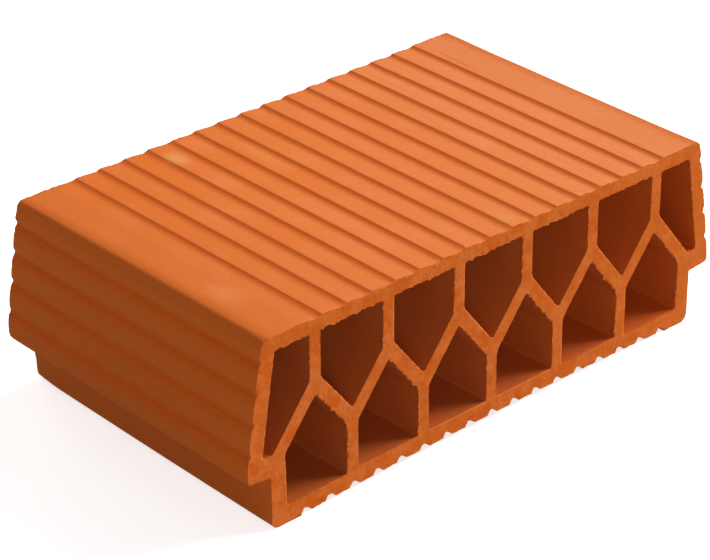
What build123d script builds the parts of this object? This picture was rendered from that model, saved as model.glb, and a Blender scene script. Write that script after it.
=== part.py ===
"""Hollow clay ceiling block: one fired clay body, extruded along Y, with two rows of cells through it.

Millimetres. X runs across the block from ledge to ledge, Y along the cells and Z up.
The origin is at the middle of the underside, level with the two outer foot strips.
"""
from build123d import *
import os
from math import cos, hypot, radians, sin, tan

# Overall sizes
length = 250.0          # along the cells
height = 142.0          # from the foot strips to the top face
foot_width = 392.5      # across the foot, below the ledges
ledge_reach = 18.75     # how far a ledge stands out past the foot, before its corner is rounded
wall_lean = 8.9         # the side walls above the ledges, in degrees from upright

# Walls and webs
top_slab = 10.7         # top face to the ceilings of the upper cells
bottom_slab = 12.6      # underside to the floors of the lower cells
side_wall = 10.6        # leaning wall, from the line through its corners to the end cell
foot_wall = 12.5        # upright wall of the foot
web = 9.0               # upright webs between the cells
slant_web = 10.0        # sloping webs, square to their faces
lower_cells = 6         # cells in the lower row; the upper row has one more, counting its two end cells

# Heights inside the section
upper_shoulder = 97.0   # where the upright webs of the upper row end
upper_apex = 62.6       # lowest point of an upper cell, before it is rounded
ledge_height = 41.7     # underside of a ledge at its outer edge
ledge_thickness = 14.5  # from a ledge's underside to the floor of the end cell
ledge_tilt = 5.0        # a ledge's underside, in degrees from level

# The underside's arch and its outer strips
camber = 4.0            # rise of the arch at the middle
foot_strip = 27.0       # width of the level strip at each side that the block stands on

# Sawtooth of the top face: it falls gently into each groove and curves up out of it to a crest
top_groove_depth = 1.2
top_groove_rise = 5.0       # width of the curved flank
top_crest = 1.4             # level land on top of each crest
top_groove_spacing = 20.9
top_groove_count = 16
top_groove_shift = 1.1      # the row of grooves lies this far right of the middle

# Deeper grooves of the underside, each with a narrow floor
under_groove_width = 9.0
under_groove_depth = 3.6
under_groove_floor = 2.0
under_groove_steep = 2.4    # width of its steep flank
under_groove_spacing = 20.9
under_groove_count = 17
under_groove_shift = 1.5    # the row of grooves lies this far right of the middle

# The leaning walls have shallow channels along the block, with gently bulging lands between them
channel_count = 4
first_channel = 16.0    # from the top face, down the wall
channel_width = 6.2     # over its sloping sides
channel_floor = 1.8
channel_depth = 1.4
land_out = 1.0          # how far the lands stand out of the line through the wall's corners
land_bulge = 0.4

# Rounded corners
top_corner_radius = 4.5
ledge_corner_radius = 2.5
foot_corner_radius = 6.0
cell_corner_radius = 2.0
shoulder_radius = 8.0   # where an upright web meets a sloping one

# Sizes that follow from the ones above
cell_pitch = (foot_width - 2 * foot_wall + web) / lower_cells
half_cell = (cell_pitch - web) / 2
upper_cells = lower_cells - 1
slope = (upper_shoulder - upper_apex) / half_cell
slant_web_drop = slant_web * hypot(1, slope)    # thickness of a sloping web, measured upright
ceiling = height - top_slab
foot_edge = foot_width / 2
ledge_edge = foot_edge + ledge_reach
lean = radians(wall_lean)
wall_length = (height - ledge_height) / cos(lean)
channel_spacing = (wall_length - first_channel) / channel_count
top_edge = ledge_edge - wall_length * sin(lean)
arch_radius = (foot_edge ** 2 + camber ** 2) / (2 * camber)
top_groove_fall = top_groove_spacing - top_groove_rise - top_crest      # width of the gentle flank


def underside_z(x):
    """Height of the arched underside at a distance from the middle."""
    return camber - arch_radius + (arch_radius ** 2 - x ** 2) ** 0.5


def wall_point(down, out):
    """A point on the right leaning wall: so far down it from the top face, and so far out of it."""
    x = top_edge + down * sin(lean) + out * cos(lean)
    z = height - down * cos(lean) + out * sin(lean)
    return (x, z)


def inner_wall_x(z):
    """Distance from the middle to the inner face of a leaning wall, at a height."""
    return top_edge + (height - z) * tan(lean) - side_wall / cos(lean)


def spread(count, spacing):
    """Places of equally spaced things, centred on the middle."""
    return [(i - (count - 1) / 2) * spacing for i in range(count)]


def land(start, end):
    """A bulging land of the right leaning wall. Its ends are given as distances down the wall and out of it."""
    middle = ((start[0] + end[0]) / 2, (start[1] + end[1]) / 2 + land_bulge)
    return ThreePointArc(wall_point(*start), wall_point(*middle), wall_point(*end))


def wall_outline():
    """The right leaning wall, from the top face to the ledge: its lands and the channels between them."""
    lines = []
    land_start = (0, 0)
    for i in range(channel_count):
        middle = first_channel + i * channel_spacing
        upper_edge = (middle - channel_width / 2, land_out)
        lower_edge = (middle + channel_width / 2, land_out)
        lines.append(land(land_start, upper_edge))
        lines.append(Polyline(
            wall_point(*upper_edge),
            wall_point(middle - channel_floor / 2, land_out - channel_depth),
            wall_point(middle + channel_floor / 2, land_out - channel_depth),
            wall_point(*lower_edge),
        ))
        land_start = lower_edge
    lines.append(land(land_start, (wall_length, 0)))
    return lines


def body_outline():
    """The outside of the section, drawn in X and height."""
    ledge_root = ledge_height - ledge_reach * tan(radians(ledge_tilt))
    strip_edge = foot_edge - foot_strip
    foot = Polyline(
        (ledge_edge, ledge_height),
        (foot_edge, ledge_root),
        (foot_edge, 0),
        (strip_edge, 0),
        (strip_edge, underside_z(strip_edge)),
    )
    right_side = wall_outline() + [foot]
    left_side = [mirror(line, about=Plane.YZ) for line in right_side]
    top = Line((-top_edge, height), (top_edge, height))
    arch = ThreePointArc(foot @ 1, (0, camber), left_side[-1] @ 1)
    edges = [edge for line in right_side + left_side + [top, arch] for edge in line.edges()]
    face = make_face(edges)
    for x, z, radius in [
        (top_edge, height, top_corner_radius),
        (ledge_edge, ledge_height, ledge_corner_radius),
        (foot_edge, 0, foot_corner_radius),
    ]:
        corners = [v for v in face.vertices() if abs(abs(v.X) - x) < 0.01 and abs(v.Y - z) < 0.01]
        face = fillet(corners, radius)
    return face


def cell(points, shoulders):
    """A cell's outline: the corners that are shoulders get the larger radius."""
    radii = [shoulder_radius if i in shoulders else cell_corner_radius for i in range(len(points))]
    return make_face(FilletPolyline(*points, radius=radii, close=True))


def upper_cell(x):
    """House-shaped cell that points down."""
    return cell([
        (x - half_cell, ceiling),
        (x - half_cell, upper_shoulder),
        (x, upper_apex),
        (x + half_cell, upper_shoulder),
        (x + half_cell, ceiling),
    ], shoulders=[1, 3])


def lower_cell(x):
    """House-shaped cell that points up. Its floor follows the arch."""
    floor = underside_z(x) + bottom_slab
    apex = upper_shoulder + web / 2 * slope - slant_web_drop
    shoulder = apex - half_cell * slope
    return cell([
        (x - half_cell, floor),
        (x + half_cell, floor),
        (x + half_cell, shoulder),
        (x, apex),
        (x - half_cell, shoulder),
    ], shoulders=[2, 4])


def end_cell():
    """Cell beside the right leaning wall, above the ledge and the last sloping web."""
    inner = upper_cells / 2 * cell_pitch + web / 2
    floor = ledge_height + ledge_thickness
    space = make_face(Polyline(
        (inner, ceiling),
        (inner, floor),
        (inner_wall_x(floor), floor),
        (inner_wall_x(ceiling), ceiling),
        close=True,
    ))
    below_web = Polygon(
        (inner, upper_shoulder),
        (inner, upper_shoulder - height),
        (inner + height / slope, upper_shoulder - height),
        align=None,
    )
    space -= below_web
    shoulder = [v for v in space.vertices() if abs(v.X - inner) < 0.01 and abs(v.Y - upper_shoulder) < 0.01]
    space = fillet(shoulder, shoulder_radius)
    return offset(offset(space, amount=-cell_corner_radius), amount=cell_corner_radius)


def cells():
    """All cells of both rows."""
    right_end = end_cell()
    shapes = [right_end, mirror(right_end, about=Plane.YZ)]
    shapes += [upper_cell(x) for x in spread(upper_cells, cell_pitch)]
    shapes += [lower_cell(x) for x in spread(lower_cells, cell_pitch)]
    return shapes


def top_grooves():
    """Grooves of the top face. Their gentle flanks are on the left."""
    rise = TangentArc((0, -top_groove_depth), (top_groove_rise, 0), tangent=(1, 0))
    rest = Polyline(
        (top_groove_rise, 0),
        (top_groove_rise, top_groove_depth),
        (-top_groove_fall, top_groove_depth),
        (-top_groove_fall, 0),
        (0, -top_groove_depth),
    )
    profile = make_face(rise.edges() + rest.edges())
    places = [x + top_groove_shift for x in spread(top_groove_count, top_groove_spacing)]
    return [Pos(x, height) * profile for x in places]


def under_grooves():
    """Grooves of the underside. Their steep flanks are on the left."""
    edge = under_groove_width / 2
    floor_left = -edge + under_groove_steep
    profile = Polygon(
        (-edge, -camber),
        (-edge, 0),
        (floor_left, under_groove_depth),
        (floor_left + under_groove_floor, under_groove_depth),
        (edge, 0),
        (edge, -camber),
        align=None,
    )
    places = [x + under_groove_shift for x in spread(under_groove_count, under_groove_spacing)]
    return [Pos(x, underside_z(x)) * profile for x in places]


def brick():
    """The whole section, as long as the block."""
    section = body_outline()
    for shape in cells() + top_grooves() + under_grooves():
        section -= shape
    return extrude(Plane.XZ * section, amount=length / 2, both=True)


os.makedirs("parts", exist_ok=True)
block = brick()
export_step(block, "parts/brick.step")
box = block.bounding_box()
print("box", box.min, box.max, "volume", round(block.volume / 1000), "cm3", "solids", len(block.solids()))
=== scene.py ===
import math
import random

import bmesh
import bpy
from bpy.props import FloatProperty, FloatVectorProperty, IntProperty, PointerProperty
from bpy.types import NodeSocket, Operator, Panel, PropertyGroup
from mathutils import Matrix, Vector, noise


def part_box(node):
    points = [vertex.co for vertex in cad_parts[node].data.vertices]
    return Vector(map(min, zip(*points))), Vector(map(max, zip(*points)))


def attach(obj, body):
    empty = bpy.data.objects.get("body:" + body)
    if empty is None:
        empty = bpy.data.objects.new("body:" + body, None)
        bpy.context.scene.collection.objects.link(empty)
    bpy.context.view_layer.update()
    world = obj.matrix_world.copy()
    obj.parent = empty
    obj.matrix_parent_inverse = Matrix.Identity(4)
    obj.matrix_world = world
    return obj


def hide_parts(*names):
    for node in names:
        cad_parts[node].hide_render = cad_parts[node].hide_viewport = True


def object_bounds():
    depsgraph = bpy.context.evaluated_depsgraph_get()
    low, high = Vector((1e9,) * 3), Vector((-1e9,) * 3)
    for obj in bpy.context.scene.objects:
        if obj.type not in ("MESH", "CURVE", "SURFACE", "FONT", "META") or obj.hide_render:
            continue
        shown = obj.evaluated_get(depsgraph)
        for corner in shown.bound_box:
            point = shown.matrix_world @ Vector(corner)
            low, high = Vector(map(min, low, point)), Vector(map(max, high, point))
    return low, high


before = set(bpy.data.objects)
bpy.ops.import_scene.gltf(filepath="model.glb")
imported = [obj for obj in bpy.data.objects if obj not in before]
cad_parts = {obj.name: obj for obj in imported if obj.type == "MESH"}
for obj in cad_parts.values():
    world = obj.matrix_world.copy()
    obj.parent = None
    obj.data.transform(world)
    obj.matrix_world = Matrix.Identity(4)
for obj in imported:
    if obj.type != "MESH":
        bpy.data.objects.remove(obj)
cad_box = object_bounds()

bl_info = {
    "name": "Hollow Clay Block",
    "version": (1, 0, 0),
    "blender": (4, 5, 0),
    "location": "3D View > Sidebar > Clay Block",
    "description": "Dresses a hollow fired-clay ceiling block and sets up its studio stage",
    "category": "Object",
}

NODE = "brick"
BODY = "root"

# Which part of the block a face belongs to, and the place of its material on the mesh.
SKIN, BORE, CUT = range(3)

# The block as it lies in the frame, in metres.
HALF_LENGTH = cad_box[1][1]
HEIGHT = cad_box[1][2]
GROOVE_COUNT = 16
GROOVE_SPACING = 0.0209
GROOVE_DEPTH = 0.0012
# Painted shade in a groove starts this far left of its crest.
GROOVE_SHADE = 0.0075       # how far left of a crest its groove starts to look darker
FIRST_CREST = -0.15065      # the sharp edge at the right of the first groove
# The top's end strips: where each starts to droop towards the block's side, where that ends, its share of
# the droop at the cut faces, and how much more of that it droops halfway between them.
DROOPS = ((-0.1880, -0.2000, 0.60, 0.8), (0.1890, 0.2000, 0.34, 1.7))
DROOP_CURVE = 3             # the power by which a droop steepens towards the side
# The leaning side walls: their lean, and how far down them the painted shade of the channels lies.
WALL_LEAN = math.radians(8.9)
# The channel lines below place painted shade, not the channels' shape.
FIRST_CHANNEL = 0.0201      # its darkest line, a little under its middle
CHANNEL_SPACING = 0.02138
CHANNEL_REACH = 0.0065      # how far from its darkest line a channel starts to look darker
CHANNEL_FLOOR = 0.001       # and how near it the tone is full
CHANNEL_SHADE = 0.9         # how much of a groove's darker tone a channel takes
WALL_INSIDE = 0.199         # the leaning walls' channels lie further out than this
LEDGE_HEIGHT = 0.042
FOOT_BAND = 0.012           # the teeth and the foot's corners lie under this height
TOP_BAND = 0.006            # the top's grooves and its drooping strips lie within this much of its height


def linear(hex_colour):
    """An sRGB colour written as a hex string, as the linear colour that Blender's sockets take."""
    channels = (int(hex_colour[i:i + 2], 16) / 255 for i in (0, 2, 4))
    return tuple(c / 12.92 if c <= 0.04045 else ((c + 0.055) / 1.055) ** 2.4 for c in channels)


def per_mm(size):
    """The scale at which a texture's features are about this many millimetres across."""
    return 1000 / size


class ClayShapeSettings(PropertyGroup):
    """What the die, the cutting wire and handling left on the block"""
    edge_round: FloatProperty(
        name="Edge rounding", default=0.0004, min=0, unit="LENGTH", precision=5,
        description="Rounding that the die leaves on the long drawn edges")
    channel_round: FloatProperty(
        name="Channel rounding", default=0.0008, min=0, unit="LENGTH", precision=5,
        description="Rounding of the channels in the leaning walls")
    tooth_round: FloatProperty(
        name="Tooth rounding", default=0.0011, min=0, unit="LENGTH", precision=5,
        description="Rounding of the teeth between the grooves of the underside")
    cut_mesh: FloatProperty(
        name="Cut face mesh", default=0.0014, min=0.0008, unit="LENGTH", precision=5,
        description="Spacing of the fine mesh on the two cut faces")
    droop: FloatProperty(
        name="End strip droop", default=0.0022, min=0, unit="LENGTH", precision=5,
        description="How far the two outermost strips on top hang towards the block's sides")
    waver: FloatProperty(
        name="Groove waver", default=0.00025, min=0, unit="LENGTH", precision=5,
        description="How far the drawn grooves wander sideways along the block")
    sag: FloatProperty(
        name="Skin unevenness", default=0.00018, min=0, unit="LENGTH", precision=5,
        description="Shallow waves that drying and firing leave in the drawn skin")
    burr: FloatProperty(
        name="Burr", default=0.0019, min=0, unit="LENGTH", precision=5,
        description="Clay that the cutting wire drags into the mouths of the cells")
    burr_depth: FloatProperty(
        name="Burr depth", default=0.0017, min=0.0001, unit="LENGTH", precision=5,
        description="How far behind the cut face a burr fades out")
    chip: FloatProperty(
        name="Chip", default=0.0009, min=0, unit="LENGTH", precision=5,
        description="Clay missing along the outer edges of the cut faces")
    relief: FloatProperty(
        name="Cut relief", default=0.00028, min=0, unit="LENGTH", precision=5,
        description="Roughness that the cutting wire leaves on the cut faces")
    pit: FloatProperty(
        name="Pit depth", default=0.0007, min=0, unit="LENGTH", precision=5,
        description="Depth of the pits where grit was pulled out of the cut faces")
    seed: IntProperty(
        name="Seed", default=7, description="Picks another set of burrs, pits and tints")


class ClayColourSettings(PropertyGroup):
    """The tones of the fired clay, some of which also carry painted shade and light"""
    skin: FloatVectorProperty(
        name="Skin", subtype="COLOR", default=linear("e77627"), min=0, max=1,
        description="Drawn outer skin of the block")
    # Painted shade: this deeper orange stands for the shade on the sides, the underside and the top's outer
    # edges.
    flank: FloatVectorProperty(
        name="Flanks", subtype="COLOR", default=linear("d8691f"), min=0, max=1,
        description="Drawn skin of the sides and the underside, which took less dust")
    cut: FloatVectorProperty(
        name="Cut face", subtype="COLOR", default=linear("d7681d"), min=0, max=1,
        description="Open clay where the wire cut the column")
    # Partly painted shade: darker than the cut clay, for the shade inside the cells.
    cell_wall_and_shade: FloatVectorProperty(
        name="Cells", subtype="COLOR", default=linear("c15d25"), min=0, max=1,
        description="Drawn walls inside the cells")
    # Painted shade: this deeper orange darkens the floors of the grooves and channels, and it brightens the
    # cells towards the right as painted light. It also tints a scratch and patches of the cut faces.
    hollow: FloatVectorProperty(
        name="Groove floors", subtype="COLOR", default=linear("db5e11"), min=0, max=1,
        description="Deeper orange at the bottom of the grooves and channels, where dust rubs off least")
    # Also painted sheen: it makes the top paler towards the front and the right.
    blush_and_sheen: FloatVectorProperty(
        name="Blush", subtype="COLOR", default=linear("f5925a"), min=0, max=1,
        description="Pinkish tone that kiln heat leaves on some strips")
    bloom: FloatVectorProperty(
        name="Lime bloom", subtype="COLOR", default=linear("e8a05c"), min=0, max=1,
        description="Pale yellow lime marks")
    grit: FloatVectorProperty(
        name="Grit", subtype="COLOR", default=linear("8e3f18"), min=0, max=1,
        description="Dark grit and pits in the clay")


class ClayStageSettings(PropertyGroup):
    """The lamps, the floor and the lens"""
    key: FloatProperty(
        name="Key light", default=3.22, min=0,
        description="Strength of the broad lamp on the right")
    softness: FloatProperty(
        name="Softness", default=math.radians(32), min=0, subtype="ANGLE",
        description="How wide each lamp looks from the block")
    left: FloatProperty(
        name="Left light", default=1.01, min=0,
        description="Strength of the low lamp that looks into the cells from the left")
    back: FloatProperty(
        name="Back light", default=0.44, min=0,
        description="Strength of the weak lamp behind the block")
    ambient: FloatProperty(
        name="Room light", default=0.18, min=0,
        description="Strength of the even light of the room")
    floor: FloatVectorProperty(
        name="Floor", subtype="COLOR", default=linear("ffffff"), min=0, max=1,
        description="Floor as the camera sees it")
    glow: FloatProperty(
        name="Floor glow", default=0.68, min=0, max=1, subtype="FACTOR",
        description="Light from below in the paper floor, as the camera sees it")
    bounce: FloatVectorProperty(
        name="Floor bounce", subtype="COLOR", default=linear("b4b2ae"), min=0, max=1,
        description="Floor as it throws light back on the block")
    lens: FloatProperty(
        name="Lens", default=145.90, min=1, unit="CAMERA",
        description="Focal length in millimetres on a 36 mm sensor")


# Materials


def add(tree, kind, inputs=None, **settings):
    """Adds a node with its settings, its plain values and its links, and returns it."""
    node = tree.nodes.new("ShaderNode" + kind)
    for name, value in settings.items():
        setattr(node, name, value)
    for key, value in (inputs or {}).items():
        if isinstance(value, NodeSocket):
            tree.links.new(value, node.inputs[key])
        else:
            node.inputs[key].default_value = value
    return node


# Places of a colour Mix node's sockets.
MIX_FACTOR, MIX_A, MIX_B, MIX_RESULT = 0, 6, 7, 2


def toned(tree, colour, layers):
    """Lays tones over a plain colour, each with how much of it shows. That is a socket, or a pattern with
    the value where nothing shows, the value where most shows, and how much that is."""
    colour = (*colour, 1)
    for shown, tone in layers:
        if isinstance(shown, tuple):
            pattern, none_at, most_at, most = shown
            shown = add(tree, "MapRange", {"Value": pattern, "From Min": none_at, "From Max": most_at,
                                           "To Min": 0, "To Max": most},
                        interpolation_type="SMOOTHSTEP").outputs[0]
        colour = add(tree, "Mix", {MIX_FACTOR: shown, MIX_A: colour, MIX_B: (*tone, 1)},
                     data_type="RGBA").outputs[MIX_RESULT]
    return colour


def clay_material(name, roughness):
    """A new material with a rough, uncoated clay shader. Returns it, its tree and its shader."""
    material = bpy.data.materials.new(name)
    material.use_nodes = True
    tree = material.node_tree
    shader = tree.nodes["Principled BSDF"]
    shader.inputs["Roughness"].default_value = roughness
    shader.inputs["IOR"].default_value = 1.5
    shader.inputs["Specular IOR Level"].default_value = 0.15
    return material, tree, shader


def drawn_lines(tree, place, width, length):
    """Fine lines that the die drags along the block, as wide and long as given in millimetres."""
    scale = (per_mm(width), per_mm(length), per_mm(width))
    stretched = add(tree, "Mapping", {"Vector": place, "Scale": scale})
    return add(tree, "TexNoise", {"Vector": stretched.outputs[0], "Scale": 1, "Detail": 3}).outputs[0]


def grain(tree, place, size):
    """Clay grain about this many millimetres across."""
    return add(tree, "TexNoise", {"Vector": place, "Scale": per_mm(size), "Detail": 3,
                                  "Roughness": 0.6}).outputs[0]


def scattered_grit(tree, place, spacing, dot, patches, patch):
    """Dots about this many millimetres apart, seen only in patches. A dot is given by its edge and its
    middle, in shares of the spacing, and by how much of it shows. The patches are a pattern, and a patch is
    given by the pattern's values where it starts and where it is full."""
    near = add(tree, "TexVoronoi", {"Vector": place, "Scale": per_mm(spacing), "Randomness": 1.0})
    edge, middle, most = dot
    dots = add(tree, "MapRange", {"Value": near.outputs["Distance"], "From Min": edge, "From Max": middle,
                                  "To Min": 0, "To Max": most},
               interpolation_type="SMOOTHSTEP")
    start, full = patch
    there = add(tree, "MapRange", {"Value": patches, "From Min": start, "From Max": full},
                interpolation_type="SMOOTHSTEP")
    return add(tree, "Math", {0: dots.outputs[0], 1: there.outputs[0]}, operation="MULTIPLY").outputs[0]


def finish_bump(tree, shader, heights):
    """Lays the bumps over each other, each given as its height socket and its height in metres."""
    normal = None
    for height, distance in heights:
        inputs = {"Height": height, "Distance": distance, "Strength": 1.0}
        if normal is not None:
            inputs["Normal"] = normal
        normal = add(tree, "Bump", inputs).outputs[0]
    tree.links.new(normal, shader.inputs["Normal"])


# Marked places on top of the block: the middle in metres, the reach along X and Y, what shows there (pale
# lime, kiln blush, or the deeper orange of a scratch) and how strongly.
MARKS = (
    ((-0.082, 0.101), (0.011, 0.016), "bloom", 0.75),
    ((0.022, -0.114), (0.009, 0.010), "bloom", 0.45),
    ((-0.178, -0.067), (0.014, 0.024), "blush_and_sheen", 0.45),
    ((-0.035, 0.074), (0.010, 0.030), "bloom", 0.30),
    ((0.090, -0.020), (0.012, 0.035), "blush_and_sheen", 0.40),
    ((0.1682, 0.083), (0.0011, 0.036), "hollow", 0.90),
    ((0.1660, 0.080), (0.0009, 0.026), "hollow", 0.70),
)
MARK_DEPTH = 0.02           # how far below the top a mark fades out
MARK_WORN = 0.45            # the value of its own pattern at which a mark shows fully


def drawn_skin(colours):
    """Fired terracotta as it leaves the extrusion die: matt, smoothed and faintly lined along the draw,
    each strip a slightly different orange, with a few pale lime and pink kiln marks on top. Painted shade
    darkens the sides, the top's outer edges and the floors of the grooves and channels, painted sheen makes
    the top paler towards the front and the right, and painted shade makes it duller towards the left."""
    material, tree, shader = clay_material("drawn_terracotta_skin", 0.72)
    place = add(tree, "TexCoord").outputs["Object"]
    flank = add(tree, "Attribute", attribute_name="flank").outputs["Fac"]
    recess = add(tree, "Attribute", attribute_name="recess").outputs["Fac"]
    tint = add(tree, "Attribute", attribute_name="strip_tint").outputs["Fac"]
    rim = add(tree, "Attribute", attribute_name="rim").outputs["Fac"]
    apart = add(tree, "SeparateXYZ", {"Vector": place})
    across, along = apart.outputs["X"], apart.outputs["Y"]
    cloud = grain(tree, place, 38)
    lines = drawn_lines(tree, place, 1.3, 60)
    fine = grain(tree, place, 0.9)
    grit = scattered_grit(tree, place, 2.6, (0.22, 0.10, 0.45), grain(tree, place, 24), (0.52, 0.62))
    layers = [
        ((cloud, 0.42, 0.72, 0.28), colours.blush_and_sheen),         # kiln clouds
        ((tint, 0, 1, 0.22), colours.blush_and_sheen),                # each strip's own step of colour
        # Painted sheen: paler towards the front and the right. Painted shade: duller towards the left.
        ((along, 0.12, -0.12, 0.25), colours.blush_and_sheen),        # paler towards the front
        ((across, -0.10, 0.24, 0.65), colours.blush_and_sheen),       # and towards the right
        ((across, -0.05, -0.20, 0.50), colours.flank),      # duller towards the left
        (grit, colours.grit),
        # Painted shade on the sides and the top's outer edges.
        (flank, colours.flank),
        # Painted shade on the floors of the grooves and channels.
        ((recess, 0, 1, 0.95), colours.hollow),
    ]
    for (x, y), (reach_x, reach_y), tone, strength in MARKS:
        centred = add(tree, "Mapping", {"Vector": place, "Location": (x, y, HEIGHT),
                                        "Scale": (reach_x, reach_y, MARK_DEPTH)}, vector_type="TEXTURE")
        spot = add(tree, "TexGradient", {"Vector": centred.outputs[0]}, gradient_type="SPHERICAL")
        worn = add(tree, "Math", {0: spot.outputs["Fac"], 1: cloud}, operation="MULTIPLY")
        layers.append(((worn.outputs[0], 0, MARK_WORN, strength), getattr(colours, tone)))
    layers += [
        ((lines, 0.55, 0.30, 0.06), colours.grit),
        ((fine, 0.45, 0.25, 0.30), colours.grit),
        ((rim, 0, 1, 0.40), colours.cut),
    ]
    tree.links.new(toned(tree, colours.skin, layers), shader.inputs["Base Color"])
    finish_bump(tree, shader, ((lines, 0.00003), (fine, 0.00007)))
    return material


def bore_skin(colours):
    """Fired terracotta drawn over the cores of the die: matt and lined along the cells, in a darker tone
    that is partly painted shade, with painted shade towards the left and painted light towards the right."""
    material, tree, shader = clay_material("drawn_terracotta_cell_wall", 0.8)
    place = add(tree, "TexCoord").outputs["Object"]
    rim = add(tree, "Attribute", attribute_name="rim").outputs["Fac"]
    across = add(tree, "SeparateXYZ", {"Vector": place}).outputs["X"]
    lines = drawn_lines(tree, place, 2.4, 60)
    fine = grain(tree, place, 1.0)
    colour = toned(tree, colours.cell_wall_and_shade, (
        ((lines, 0.30, 0.70, 0.06), colours.grit),
        # Painted shade towards the left and painted light towards the right.
        ((across, 0, -0.20, 0.25), colours.grit),           # duller towards the left
        ((across, 0, 0.20, 0.45), colours.hollow),          # and brighter towards the right
        ((fine, 0.45, 0.25, 0.30), colours.grit),
        ((rim, 0, 1, 0.80), colours.cut),
    ))
    tree.links.new(colour, shader.inputs["Base Color"])
    finish_bump(tree, shader, ((lines, 0.00005), (fine, 0.00007)))
    return material


def wire_cut(colours):
    """Fired terracotta cut by a wire: open and gritty, with small dark pits and paler torn edges, and
    painted light that makes it a brighter orange towards the right."""
    material, tree, shader = clay_material("wire_cut_terracotta", 0.85)
    place = add(tree, "TexCoord").outputs["Object"]
    rim = add(tree, "Attribute", attribute_name="rim").outputs["Fac"]
    across = add(tree, "SeparateXYZ", {"Vector": place}).outputs["X"]
    cloud = grain(tree, place, 11)
    coarse = grain(tree, place, 3.2)
    fine = grain(tree, place, 0.8)
    pits = scattered_grit(tree, place, 8, (0.11, 0.05, 0.60), cloud, (0.45, 0.60))
    colour = toned(tree, colours.cut, (
        ((cloud, 0.45, 0.65, 0.18), colours.blush_and_sheen),
        ((cloud, 0.50, 0.35, 0.65), colours.hollow),
        ((cloud, 0.52, 0.36, 0.10), colours.grit),
        # Painted light: a brighter orange towards the right.
        ((across, -0.05, 0.20, 0.32), colours.skin),
        ((coarse, 0.55, 0.75, 0.22), colours.bloom),
        ((coarse, 0.45, 0.30, 0.30), colours.grit),
        (pits, colours.grit),
        ((fine, 0.45, 0.25, 0.15), colours.grit),
        ((rim, 0.30, 1, 0.22), colours.blush_and_sheen),
    ))
    tree.links.new(colour, shader.inputs["Base Color"])
    finish_bump(tree, shader, ((coarse, 0.00035), (fine, 0.00012)))
    return material


# The block

# In metres: corners closer together than the first are one, and corners nearer a slice than the second lie
# on it.
ONE_PLACE = 1e-6
ON_SLICE = 2e-5
# Faces that turn less than this are one flat face. Edges that turn more than these are rounded, or are left
# sharp in the shading.
FLAT = math.radians(0.1)
ROUNDED = math.radians(20)
SHARP = math.radians(40)
FACING = 0.9                # a face whose normal reaches this along an axis faces that way


def merged_solid():
    """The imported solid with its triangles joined, its flat faces whole and each face sorted by its place."""
    bm = bmesh.new()
    bm.from_mesh(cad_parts[NODE].data)
    bmesh.ops.remove_doubles(bm, verts=bm.verts, dist=ONE_PLACE)
    bmesh.ops.dissolve_limit(bm, angle_limit=FLAT, use_dissolve_boundaries=False,
                             verts=bm.verts, edges=bm.edges)
    for face in bm.faces:
        face.material_index = CUT if abs(face.normal.y) > FACING else BORE
    # The skin is the one run of walls that reaches the block's furthest point.
    outermost = min(bm.verts, key=lambda v: v.co.x)
    waiting = [face for face in outermost.link_faces if face.material_index == BORE]
    while waiting:
        face = waiting.pop()
        face.material_index = SKIN
        waiting += [other for edge in face.edges for other in edge.link_faces
                    if other.material_index == BORE]
    return bm


def everything(bm):
    """All corners, edges and faces."""
    return bm.verts[:] + bm.edges[:] + bm.faces[:]


def sliced(bm, geometry, point, across):
    """Cuts the given geometry along a plane and returns it with the new pieces."""
    cut = bmesh.ops.bisect_plane(bm, geom=geometry, dist=ON_SLICE, plane_co=point, plane_no=across)
    return cut["geom"]


def touching(faces):
    """The given faces with all their edges and corners, in the same order each run."""
    edges = dict.fromkeys(edge for face in faces for edge in face.edges)
    corners = dict.fromkeys(corner for face in faces for corner in face.verts)
    return [*edges, *corners, *faces]


# Slices across the block, in metres from its end: close together where the wire left its marks.
END_CUTS = (0.0006, 0.0016, 0.004)
BODY_CUTS = (0.009, 0.017, 0.026, 0.036, 0.047, 0.058, 0.070, 0.082, 0.094, 0.106, 0.116)
TOP_CUT_SPACING = 0.0042
DROOP_CUTS = 5              # closer slices where an end strip droops
SLICE_SHIFT = 0.1           # share of the spacing that keeps the upright slices off the block's middle


def round_long_edges(bm, shape):
    """Rounds the sharp drawn edges that run the length of the block, each kind by its own radius."""
    channels, teeth, others = [], [], []
    for edge in bm.edges:
        faces = edge.link_faces
        if any(face.material_index == CUT for face in faces) or edge.calc_face_angle(0) < ROUNDED:
            continue
        x, _, z = edge.verts[0].co
        if faces[0].material_index == SKIN and z < FOOT_BAND:
            teeth.append(edge)
        elif faces[0].material_index == SKIN and abs(x) > WALL_INSIDE and z > LEDGE_HEIGHT:
            channels.append(edge)
        else:
            others.append(edge)
    for edges, radius in ((channels, shape.channel_round),
                          (teeth, shape.tooth_round),
                          (others, shape.edge_round)):
        bmesh.ops.bevel(bm, geom=edges, offset=radius, offset_type="OFFSET", segments=2, profile=0.5,
                        affect="EDGES", material=-1, clamp_overlap=True)


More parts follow.
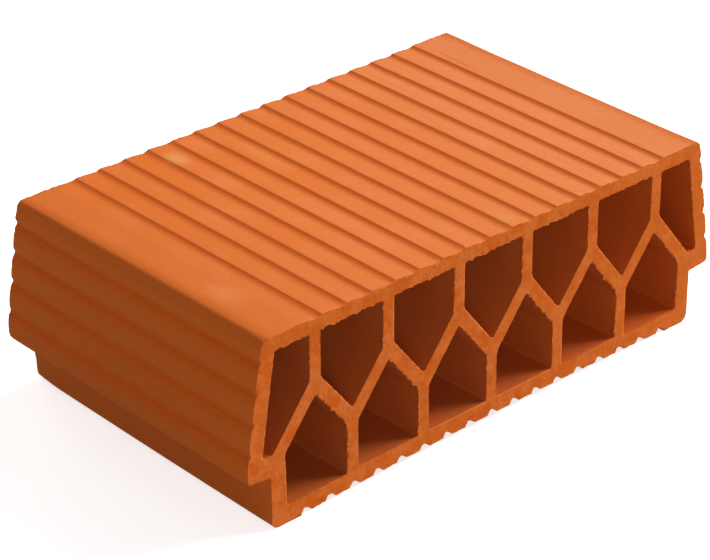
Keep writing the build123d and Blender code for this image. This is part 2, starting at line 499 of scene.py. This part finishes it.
def refine(bm, spacing):
    """Gives half the block the fine mesh that its marks need, and mirrors it to the whole block."""
    bmesh.ops.bisect_plane(bm, geom=everything(bm), dist=ONE_PLACE, plane_co=(0, 0, 0), plane_no=(0, 1, 0),
                           clear_outer=True)
    for depth in END_CUTS + BODY_CUTS:
        sliced(bm, everything(bm), (0, depth - HALF_LENGTH, 0), (0, 1, 0))
    width = max(v.co.x for v in bm.verts)
    end_start = END_CUTS[-1] - HALF_LENGTH
    top = touching([f for f in bm.faces if f.material_index == SKIN and f.normal.z > FACING
                    and f.calc_center_median().y > end_start])
    count = int(width / TOP_CUT_SPACING)
    places = [i * TOP_CUT_SPACING for i in range(-count, count + 1)]
    for start, stop, _, _ in DROOPS:
        places += [start + i * (stop - start) / DROOP_CUTS for i in range(DROOP_CUTS)]
    for x in places:
        top = sliced(bm, top, (x, 0, 0), (1, 0, 0))
    end = touching([f for f in bm.faces if f.calc_center_median().y < end_start])
    count = int(width / spacing)
    for i in range(-count, count + 1):
        end = sliced(bm, end, ((i + SLICE_SHIFT) * spacing, 0, 0), (1, 0, 0))
    for i in range(1, int(HEIGHT / spacing) + 1):
        end = sliced(bm, end, (0, 0, i * spacing), (0, 0, 1))
    rims = [e for e in bm.edges if {f.material_index == CUT for f in e.link_faces} == {True, False}]
    bmesh.ops.subdivide_edges(bm, edges=rims, cuts=1)
    bmesh.ops.mirror(bm, geom=everything(bm), matrix=Matrix.Identity(4), merge_dist=ONE_PLACE, axis="Y")
    bmesh.ops.recalc_face_normals(bm, faces=bm.faces)


# The left side of the foot was pushed in while the clay was soft: from where on, between which heights the
# push fades out, how far it goes along the whole side and how far its lower edge goes at the back.
FOOT_PUSH_START = -0.168
FOOT_PUSH_FULL = -0.180
FOOT_PUSH_TOP = 0.056
FOOT_PUSH_BELOW = 0.040
FOOT_PUSH = 0.0012
FOOT_LEAN_BACK = 0.0020
# The foot's corner that was knocked round in handling: its place, how far the wear reaches and where the
# clay went.
WORN_CORNER = Vector((-0.196, 0.125, 0.0))
WORN_REACH = Vector((0.036, 0.020, 0.036))
WORN_PUSH = Vector((0.0010, 0, 0.0005))
# The way in which the cutting wire pulled the clay along, and the share of a full burr that it still left
# on the edges that it ran along or away from.
WIRE_DRAG = Vector((-0.68, 0, -0.73))
LEAST_BURR = 0.2
# How long the waves of each mark are, in metres.
RELIEF_WAVE = 0.0035        # the wire's roughness on a cut face
PIT_SPACING = 0.0075        # each stretch this wide holds one spot that may be a pit
TEAR_WAVE = 0.0042          # the longer waves of a ragged edge
FINE_TEAR_WAVE = 0.0016     # and the finer ones on them
RIM_WAVE = 0.0030           # the wear of a cut face's very edge
SKIN_WAVE = 0.045           # unevenness of the outer skin
GROOVE_WAVE = 0.028         # its grooves' wander
BORE_WAVE = 0.030           # unevenness of the cell walls
# Noise is read this much slower along the block, because the draw pulls the unevenness long.
SKIN_DRAWN = 0.6
BORE_DRAWN = 0.5
# Each mark reads its own stretch of noise. Those of the two cut faces lie on either side of the seed's.
SEED_STEP = 3.1
RELIEF_NOISE, TEAR_NOISE, FINE_TEAR_NOISE, RIM_NOISE, PIT_NOISE = 9, 5, -4, 2, 3
GROOVE_NOISE, BORE_NOISE = 20, 31
PIT_REACH = 0.2             # a pit's radius, as a share of the pits' spacing
RELIEF_MIDDLE = 0.55        # the share of the relief's depth that it swings about
BURR_START = 0.05           # the longer waves make a burr only above this height of theirs
FINE_IN_BURR = 0.8          # how much the finer waves count in a burr
FINE_IN_CHIP = 0.5          # and in a chip
RIM_WEAR = 0.00012          # how far the very edge of a cut face is worn back
LEAST_TEAR = 0.01           # a tear that has faded to less than this share is left out
TORN_WIDE = 0.3             # a cell's mouth is torn wider by at most this share of a burr
TOP_TILT = 0.2              # the top's skin leans upwards by at least this much
NO_WAY = 1e-6               # a sum of normals shorter than this points nowhere
# Where the flanks' painted shade comes in: between these upward leans of the skin, and between these distances
# from the block's middle, in metres.
FLANK_SHADE_TILT = (0.90, 0.40)
FLANK_SHADE_EDGE = (0.187, 0.197)


def wall_direction(vertex):
    """Across the drawn walls that meet at a corner, away from the clay and square to the draw."""
    total = Vector((0, 0, 0))
    for face in vertex.link_faces:
        if face.material_index != CUT:
            total += face.normal
    total.y = 0
    return total.normalized() if total.length > NO_WAY else total


def ripple(x, y, z, size, shift):
    """Smooth noise from -1 to 1 with waves about this many metres long."""
    return noise.noise(Vector((x / size + shift, y / size - shift, z / size + 2 * shift)))


def cut_face_move(place, shift, shape):
    """How the wire's relief and pits move a place on a cut face."""
    x, y, z = place
    end = math.copysign(1, y)
    swing = ripple(x, 0, z, RELIEF_WAVE, shift + RELIEF_NOISE * end)
    hollow = shape.relief * (RELIEF_MIDDLE + (1 - RELIEF_MIDDLE) * swing)
    spot = Vector((x / PIT_SPACING, PIT_NOISE * end, z / PIT_SPACING))
    away = noise.voronoi(spot, distance_metric="DISTANCE")[0][0]
    if away < PIT_REACH:
        hollow += shape.pit * (1 - (away / PIT_REACH) ** 2)
    return Vector((0, -end * hollow, 0))


def tear(x, z, end, across, in_cell, shift, shape):
    """How far the edge of a cut face stands out as a burr in a cell's mouth, or in as a chip outside."""
    coarse = ripple(x, 0, z, TEAR_WAVE, shift + TEAR_NOISE * end)
    fine = ripple(x, 0, z, FINE_TEAR_WAVE, shift + FINE_TEAR_NOISE * end)
    if not in_cell:
        return -shape.chip * (max(0, coarse) + FINE_IN_CHIP * abs(fine))
    dragged = LEAST_BURR + (1 - LEAST_BURR) * max(0, across.dot(WIRE_DRAG))
    amount = dragged * shape.burr * (max(0, coarse - BURR_START) + FINE_IN_BURR * fine)
    return max(amount, -TORN_WIDE * shape.burr)


def wall_move(place, across, kinds, shift, shape):
    """How the die, the drying and the torn ends move a place on a drawn wall."""
    x, y, z = place
    end = math.copysign(1, y)
    move = Vector((0, 0, 0))
    fade = math.exp(-(HALF_LENGTH - abs(y)) / shape.burr_depth)
    if fade > LEAST_TEAR:
        move += across * tear(x, z, end, across, BORE in kinds, shift, shape) * fade
    if SKIN in kinds:
        move -= across * shape.sag * (0.5 + 0.5 * ripple(x, y * SKIN_DRAWN, z, SKIN_WAVE, shift))
        if across.z > TOP_TILT and z > HEIGHT - TOP_BAND:
            move.x += shape.waver * ripple(x, y, 0, GROOVE_WAVE, shift + GROOVE_NOISE)
            move.z -= shape.droop * droop_share(x, y)
    else:
        move += across * shape.sag * ripple(x, y * BORE_DRAWN, z, BORE_WAVE, shift + BORE_NOISE)
    if CUT in kinds:
        move.y = -end * RIM_WEAR * (1 + ripple(x, 0, z, RIM_WAVE, shift + RIM_NOISE * end))
    return move


def handling_move(place):
    """How the push on the foot's left side and the knock on its corner move a place."""
    move = Vector((foot_push(*place), 0, 0))
    away = Vector((way / reach for way, reach in zip(place - WORN_CORNER, WORN_REACH))).length
    if away < 1:
        move += WORN_PUSH * (1 - away)
    return move


def roughen(bm, shape):
    """Moves the fine mesh: wavering grooves, drooping end strips, burrs at the cell mouths, chips on the
    outer edges, the wire's relief and pits on the cut faces, and what handling did to the foot. It also
    writes the attributes that the materials read, among them where painted shade goes. No corner leaves the
    block's box."""
    rim_layer = bm.verts.layers.float.new("rim")
    flank_shade_layer = bm.verts.layers.float.new("flank")
    recess_shade_layer = bm.verts.layers.float.new("recess")
    shift = shape.seed * SEED_STEP
    moves = []
    for vertex in bm.verts:
        place = vertex.co
        kinds = {face.material_index for face in vertex.link_faces}
        across = wall_direction(vertex)
        if kinds == {CUT}:
            move = cut_face_move(place, shift, shape)
        else:
            move = wall_move(place, across, kinds, shift, shape)
        moves.append(move + handling_move(place))
        vertex[rim_layer] = 1.0 if CUT in kinds and len(kinds) > 1 else 0.0
        if SKIN in kinds:
            # Where painted shade goes: the sides and the top's outer edges, and the floors of the grooves and
            # channels.
            vertex[flank_shade_layer] = max(share(across.z, *FLANK_SHADE_TILT), share(abs(place.x), *FLANK_SHADE_EDGE))
            vertex[recess_shade_layer] = recess_shade_share(place.x, place.z)
    for vertex, move in zip(bm.verts, moves):
        vertex.co += move
    keep_inside(bm)


def share(value, start, end):
    """How far a value is from the start to the end, held between 0 and 1."""
    return min(1.0, max(0.0, (value - start) / (end - start)))


def droop_share(x, y):
    """How far an end strip on top droops at this place, in shares of the whole droop."""
    halfway = 1 - (y / HALF_LENGTH) ** 2
    total = 0.0
    for start, end, amount, more in DROOPS:
        total += amount * (1 + more * halfway) * share(x, start, end) ** DROOP_CURVE
    return total


def foot_push(x, y, z):
    """How far the left side of the foot is pushed in at this place."""
    push = FOOT_PUSH * share(z, FOOT_PUSH_TOP, FOOT_PUSH_BELOW)
    lean = FOOT_LEAN_BACK * share(y, -HALF_LENGTH, HALF_LENGTH) ** 2 * share(z, FOOT_PUSH_BELOW, 0)
    return share(x, FOOT_PUSH_START, FOOT_PUSH_FULL) * (push + lean)


def recess_shade_share(x, z):
    """How much painted shade a place of the skin takes in a groove of the top or a channel of a side wall,
    from 0 to 1.
    """
    if z > HEIGHT - 2 * GROOVE_DEPTH:
        along = (x - FIRST_CREST) / GROOVE_SPACING
        to_crest = (math.ceil(along) - along) * GROOVE_SPACING
        return share(to_crest, GROOVE_SHADE, 0) if -1 < along < GROOVE_COUNT - 1 else 0.0
    if z < LEDGE_HEIGHT + CHANNEL_REACH:
        return 0.0
    down = (HEIGHT - z) / math.cos(WALL_LEAN) - FIRST_CHANNEL
    from_channel = abs(down - CHANNEL_SPACING * max(0, round(down / CHANNEL_SPACING)))
    return CHANNEL_SHADE * share(from_channel, CHANNEL_REACH, CHANNEL_FLOOR)


def keep_inside(bm):
    """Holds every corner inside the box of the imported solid."""
    low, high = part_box(NODE)
    for vertex in bm.verts:
        for axis in range(3):
            vertex.co[axis] = min(high[axis], max(low[axis], vertex.co[axis]))


def tint_strips(bm, seed):
    """Gives each drawn strip of the top its own small step of colour."""
    draw = random.Random(seed)
    tints = [draw.random() for _ in range(GROOVE_COUNT + 1)]
    layer = bm.faces.layers.float.new("strip_tint")
    for face in bm.faces:
        strip = math.ceil((face.calc_center_median().x - FIRST_CREST) / GROOVE_SPACING)
        face[layer] = tints[min(GROOVE_COUNT, max(0, strip))]


class OBJECT_OT_dress_clay_block(Operator):
    """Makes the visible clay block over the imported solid, with its cells, burrs and clay surfaces"""
    bl_idname = "object.dress_clay_block"
    bl_label = "Dress Clay Block"
    bl_options = {"REGISTER", "UNDO"}

    def execute(self, context):
        shape = context.scene.clay_shape
        colours = context.scene.clay_colours
        bm = merged_solid()
        round_long_edges(bm, shape)
        refine(bm, shape.cut_mesh)
        tint_strips(bm, shape.seed)
        roughen(bm, shape)
        for face in bm.faces:
            face.smooth = True
        mesh = bpy.data.meshes.new("hollow_clay_block")
        bm.to_mesh(mesh)
        bm.free()
        for material in (drawn_skin(colours), bore_skin(colours), wire_cut(colours)):
            mesh.materials.append(material)
        mesh.set_sharp_from_angle(angle=SHARP)
        block = bpy.data.objects.new("hollow_clay_block", mesh)
        context.scene.collection.objects.link(block)
        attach(block, BODY)
        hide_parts(NODE)
        return {"FINISHED"}


# The stage

CAMERA_PLACE = Vector((-1.1732, -1.2809, 1.0353))
CAMERA_FORWARD = Vector((0.5858, 0.6448, -0.4909))
CAMERA_RIGHT = Vector((0.7384, -0.6744, -0.0047))
SENSOR_WIDTH = 36           # millimetres
VIEW_REACH = 50             # how far the camera sees, in metres
# Where each lamp stands: degrees round the block from its cut face towards its right side, and degrees up.
LAMPS = {"key": (75, 37), "left": (-24, 14), "back": (165, 25)}
FLOOR_REACH = 12.0
FLOOR_GAP = 0.0001


def floor_material(stage):
    """Matt white studio paper, partly lit from below so that its shadows stay pale to the camera. On the
    block it throws only a dimmer, unlit light."""
    material = bpy.data.materials.new("matt_studio_paper")
    material.use_nodes = True
    tree = material.node_tree
    shader = tree.nodes["Principled BSDF"]
    shader.inputs["Roughness"].default_value = 1.0
    shader.inputs["Specular IOR Level"].default_value = 0.0
    path = add(tree, "LightPath")
    seen = path.outputs["Is Camera Ray"]
    for ray in ("Is Glossy Ray", "Is Transmission Ray"):
        seen = add(tree, "Math", {0: seen, 1: path.outputs[ray]}, operation="MAXIMUM").outputs[0]
    colour = toned(tree, stage.bounce, [(seen, stage.floor)])
    glow = add(tree, "Math", {0: seen, 1: stage.glow}, operation="MULTIPLY")
    tree.links.new(colour, shader.inputs["Base Color"])
    shader.inputs["Emission Color"].default_value = (1, 1, 1, 1)
    tree.links.new(glow.outputs[0], shader.inputs["Emission Strength"])
    return material


def room_light(stage):
    """An even grey room that the camera sees as white."""
    world = bpy.data.worlds.new("studio_room")
    world.use_nodes = True
    tree = world.node_tree
    path = add(tree, "LightPath")
    seen = add(tree, "Math", {0: path.outputs["Is Camera Ray"], 1: path.outputs["Is Transmission Ray"]},
               operation="MAXIMUM")
    strength = add(tree, "MapRange", {"Value": seen.outputs[0], "To Min": stage.ambient, "To Max": 1.0})
    tree.links.new(strength.outputs[0], tree.nodes["Background"].inputs["Strength"])
    tree.nodes["Background"].inputs["Color"].default_value = (1, 1, 1, 1)
    return world


def lamp(name, strength, softness):
    """A broad soft lamp that shines from its place round the block."""
    light = bpy.data.lights.new(name + "_light", "SUN")
    light.energy = strength
    light.angle = softness
    around, up = (math.radians(degrees) for degrees in LAMPS[name])
    towards = Vector((math.sin(around) * math.cos(up), -math.cos(around) * math.cos(up), math.sin(up)))
    holder = bpy.data.objects.new(light.name, light)
    holder.rotation_euler = towards.to_track_quat("Z", "Y").to_euler()
    bpy.context.scene.collection.objects.link(holder)


class SCENE_OT_set_clay_stage(Operator):
    """Sets up the pale floor, the soft studio light and the camera around the block"""
    bl_idname = "scene.set_clay_stage"
    bl_label = "Set Up Stage"
    bl_options = {"REGISTER", "UNDO"}

    def execute(self, context):
        scene = context.scene
        stage = scene.clay_stage
        bm = bmesh.new()
        bmesh.ops.create_grid(bm, x_segments=1, y_segments=1, size=FLOOR_REACH)
        bmesh.ops.translate(bm, verts=bm.verts, vec=(0, 0, -FLOOR_GAP))
        mesh = bpy.data.meshes.new("studio_floor")
        bm.to_mesh(mesh)
        bm.free()
        mesh.materials.append(floor_material(stage))
        floor = bpy.data.objects.new("studio_floor", mesh)
        scene.collection.objects.link(floor)
        scene.world = room_light(stage)
        for name in LAMPS:
            lamp(name, getattr(stage, name), stage.softness)
        camera = bpy.data.cameras.new("catalogue_camera")
        camera.sensor_width = SENSOR_WIDTH
        camera.lens = stage.lens
        camera.clip_end = VIEW_REACH
        holder = bpy.data.objects.new("catalogue_camera", camera)
        forward = CAMERA_FORWARD.normalized()
        right = CAMERA_RIGHT.normalized()
        upward = right.cross(forward)
        turn = Matrix((right, upward, -forward)).transposed().to_4x4()
        holder.matrix_world = Matrix.Translation(CAMERA_PLACE) @ turn
        scene.collection.objects.link(holder)
        scene.camera = holder
        scene.view_settings.view_transform = "Standard"
        return {"FINISHED"}


class VIEW3D_PT_clay_block(Panel):
    """Lists the settings of the block and its stage"""
    bl_label = "Clay Block"
    bl_idname = "VIEW3D_PT_clay_block"
    bl_space_type = "VIEW_3D"
    bl_region_type = "UI"
    bl_category = "Clay Block"

    def draw(self, context):
        layout = self.layout
        scene = context.scene
        for group, button in ((scene.clay_shape, OBJECT_OT_dress_clay_block.bl_idname),
                              (scene.clay_colours, None),
                              (scene.clay_stage, SCENE_OT_set_clay_stage.bl_idname)):
            box = layout.box()
            for name in group.__annotations__:
                box.prop(group, name)
            if button:
                box.operator(button)


CLASSES = (
    ClayShapeSettings,
    ClayColourSettings,
    ClayStageSettings,
    OBJECT_OT_dress_clay_block,
    SCENE_OT_set_clay_stage,
    VIEW3D_PT_clay_block,
)


def register():
    for cls in CLASSES:
        bpy.utils.register_class(cls)
    bpy.types.Scene.clay_shape = PointerProperty(type=ClayShapeSettings)
    bpy.types.Scene.clay_colours = PointerProperty(type=ClayColourSettings)
    bpy.types.Scene.clay_stage = PointerProperty(type=ClayStageSettings)


def unregister():
    del bpy.types.Scene.clay_stage
    del bpy.types.Scene.clay_colours
    del bpy.types.Scene.clay_shape
    for cls in reversed(CLASSES):
        bpy.utils.unregister_class(cls)


def main():
    register()
    bpy.ops.object.dress_clay_block()
    bpy.ops.scene.set_clay_stage()


if __name__ == "__main__":
    main()
